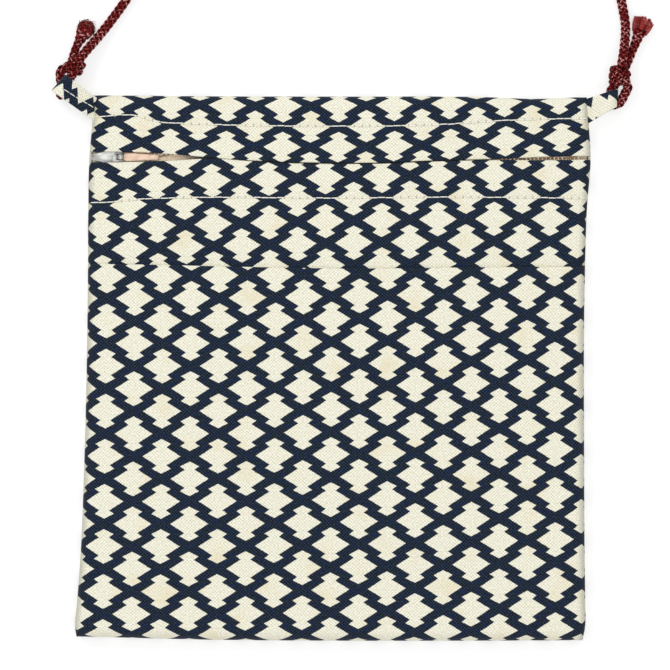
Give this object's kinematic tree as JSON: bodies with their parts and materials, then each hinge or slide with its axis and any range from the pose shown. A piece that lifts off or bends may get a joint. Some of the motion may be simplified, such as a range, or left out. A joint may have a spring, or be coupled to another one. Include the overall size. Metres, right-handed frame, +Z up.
{
  "type": "shoulder pouch",
  "caption": "Flat cotton shoulder pouch with a zip under a folded lip, a full-width front slip pocket, two corner tabs and a knotted braided cord.",
  "frame": {"origin": "on the surface that the pouch lies on, under the middle of the box round the body and its two tabs", "axes": "+Y towards the pouch's top edge, +X to the right seen from the front, +Z up out of the front face"},
  "size_m": [0.3021, 0.3203, 0.0122],
  "materials": {
    "printed_cotton": "plain-weave cotton, cream with a navy lattice print, matt",
    "zip_tape": "beige woven tape",
    "zip_teeth": "dull brass",
    "zip_slider": "satin nickel",
    "zip_pull": "pale beige, smooth",
    "cord": "wine-red braid with a slight sheen"
  },
  "bodies": {
    "pouch": {"back_panel": "printed_cotton", "front_panel": "printed_cotton", "front_pocket": "printed_cotton", "top_band": "printed_cotton", "tab_left": "printed_cotton", "tab_right": "printed_cotton", "zip_tape_upper": "zip_tape", "zip_tape_lower": "zip_tape", "zip_chain": "zip_teeth", "zip_slider": "zip_slider", "knot_left": "cord", "knot_right": "cord", "tail_left": "cord", "tail_right": "cord", "shoulder_cord": "cord"},
    "zip_pull": {"zip_pull": "zip_pull"}
  },
  "joints": [
    {"name": "zip_pull_hinge", "type": "hinge", "parent": "pouch", "child": "zip_pull", "pos_m": [-0.0857, 0.08026, 0.00736], "axis": [0, -1, 0], "range_deg": [0, 150]}
  ]
}
